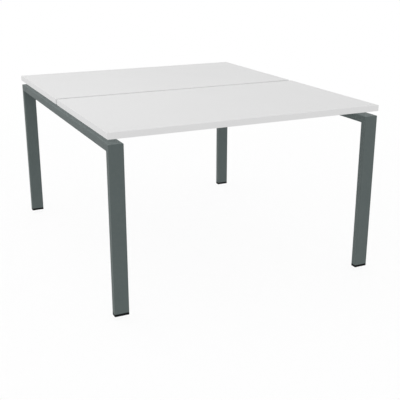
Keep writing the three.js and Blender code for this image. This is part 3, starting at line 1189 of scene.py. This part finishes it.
class DESK_OT_stage(Operator):
    """Set the camera, the pale floor and the soft light"""
    bl_idname = "desk.set_stage"
    bl_label = "Stage"

    def camera(self, settings):
        """The camera, upright, at the photograph's viewing angle."""
        camera = linked("camera", bpy.data.cameras.new("camera"))
        camera.data.lens = settings.camera_lens
        camera.location = settings.camera_place
        camera.rotation_euler = (math.pi / 2 - settings.camera_pitch, 0, -settings.camera_yaw)
        bpy.context.scene.camera = camera

    def seen_ray(self, tree):
        """1 for the rays that show the background itself: to the camera, in gloss and through glass."""
        path = tree.nodes.new("ShaderNodeLightPath").outputs
        seen = maths(tree, "MAXIMUM", path["Is Camera Ray"], path["Is Glossy Ray"])
        return maths(tree, "MAXIMUM", seen, path["Is Transmission Ray"])

    def mix(self, tree, share, first, second):
        """Two shaders mixed by a share, which is a socket or a number."""
        return add_node(tree, "MixShader", "Shader", {0: share, 1: first, 2: second})

    def world(self, settings):
        """An even white surround, pure white where it is seen."""
        world = bpy.data.worlds.new("white_surround")
        world.use_nodes = True
        tree = world.node_tree
        tree.nodes.clear()
        light = add_node(
            tree, "Background", "Background", {"Color": WHITE, "Strength": settings.surround})
        backdrop = add_node(tree, "Background", "Background", {"Color": WHITE})
        leave = tree.nodes.new("ShaderNodeOutputWorld")
        tree.links.new(self.mix(tree, self.seen_ray(tree), light, backdrop), leave.inputs["Surface"])
        bpy.context.scene.world = world

    def fading(self, tree, settings):
        """The share of shadow that shows, which fades out away from the desk."""
        point = add_node(tree, "TexCoord", "Object")
        radius = add_node(tree, "VectorMath", "Value", {0: point}, operation="LENGTH")
        reach = {"Value": radius, "From Min": settings.shadow_full, "From Max": settings.shadow_end,
                 "To Min": settings.shadow, "To Max": 0.0}
        return add_node(tree, "MapRange", "Result", reach, interpolation_type="SMOOTHSTEP")

    def floor(self, settings):
        """A pale floor, clear of lowered feet. It shows a trace of shadow on white, and only from above."""
        material = bpy.data.materials.new("pale_floor")
        material.use_nodes = True
        tree = material.node_tree
        tree.nodes.clear()
        lit = add_node(tree, "BsdfDiffuse", "BSDF", {"Color": rgba(settings.floor)})
        veil = add_node(tree, "BsdfDiffuse", "BSDF", {"Color": WHITE})
        clear = add_node(tree, "BsdfTransparent", "BSDF")
        glowing = self.mix(tree, settings.glow, lit, clear)
        shaded = self.mix(tree, self.fading(tree, settings), clear, veil)
        above = self.mix(tree, self.seen_ray(tree), glowing, shaded)
        below = add_node(tree, "NewGeometry", "Backfacing")
        leave = tree.nodes.new("ShaderNodeOutputMaterial")
        tree.links.new(self.mix(tree, below, above, clear), leave.inputs["Surface"])
        bm = bmesh.new()
        bmesh.ops.create_grid(bm, x_segments=1, y_segments=1, size=settings.floor_side / 2)
        mesh = bpy.data.meshes.new("floor")
        bm.to_mesh(mesh)
        bm.free()
        mesh.materials.append(material)
        floor = linked("floor", mesh)
        floor.location.z = -FOOT_TRAVEL - settings.floor_gap

    def key(self, settings):
        """A large soft light over the left end."""
        key = linked("key", bpy.data.lights.new("key", "AREA"))
        key.data.shape = "DISK"
        key.data.size = settings.key_width
        key.data.energy = settings.key_power
        key.location = settings.key_place

    def gap(self, settings, coat):
        """A light straight down on the coated steel alone, which the worktops don't hold back."""
        gap = linked("gap", bpy.data.lights.new("gap", "SUN"))
        gap.data.energy = settings.gap_light
        gap.data.angle = settings.gap_spread
        steel = bpy.data.collections.new("coated_steel")
        for piece in bpy.context.scene.objects:
            if piece.type == "MESH" and coat.name in piece.data.materials:
                steel.objects.link(piece)
        gap.light_linking.receiver_collection = steel
        gap.light_linking.blocker_collection = steel

    def execute(self, context):
        desk = context.scene.bench_desk
        self.camera(desk.stage)
        self.world(desk.stage)
        self.floor(desk.stage)
        self.key(desk.stage)
        self.gap(desk.stage, powder_coat(desk.frames))
        context.scene.view_settings.view_transform = "Standard"
        return {"FINISHED"}


# Panel and registration

PIECES = (
    DESK_OT_boards, DESK_OT_edging, DESK_OT_legs, DESK_OT_beams, DESK_OT_mitre_welds, DESK_OT_rails,
    DESK_OT_brackets, DESK_OT_rail_beads, DESK_OT_bolts, DESK_OT_screws, DESK_OT_plugs, DESK_OT_feet,
    DESK_OT_stems, DESK_OT_stage,
)


class DESK_PT_sidebar(Panel):
    """The desk's settings and pieces"""
    bl_idname = "DESK_PT_sidebar"
    bl_label = "Benching Desk"
    bl_space_type = "VIEW_3D"
    bl_region_type = "UI"
    bl_category = "Desk"

    def draw(self, context):
        desk = context.scene.bench_desk
        for settings in (desk.worktop, desk.frames, desk.fastenings, desk.feet, desk.stage):
            box = self.layout.box()
            for label in settings.__annotations__:
                box.prop(settings, label)
        for piece in PIECES:
            self.layout.operator(piece.bl_idname)


CLASSES = (
    WorktopSettings, FrameSettings, FasteningSettings, FootSettings, StageSettings, BenchDesk,
    *PIECES, DESK_PT_sidebar,
)


def register():
    """Make the settings, operators and panel known to Blender."""
    for item in CLASSES:
        bpy.utils.register_class(item)
    bpy.types.Scene.bench_desk = PointerProperty(type=BenchDesk)


def unregister():
    """Take them away again."""
    del bpy.types.Scene.bench_desk
    for item in reversed(CLASSES):
        bpy.utils.unregister_class(item)


def main():
    """Dress the desk."""
    register()
    for piece in PIECES:
        group, name = piece.bl_idname.split(".")
        getattr(getattr(bpy.ops, group), name)()


if __name__ == "__main__":
    main()
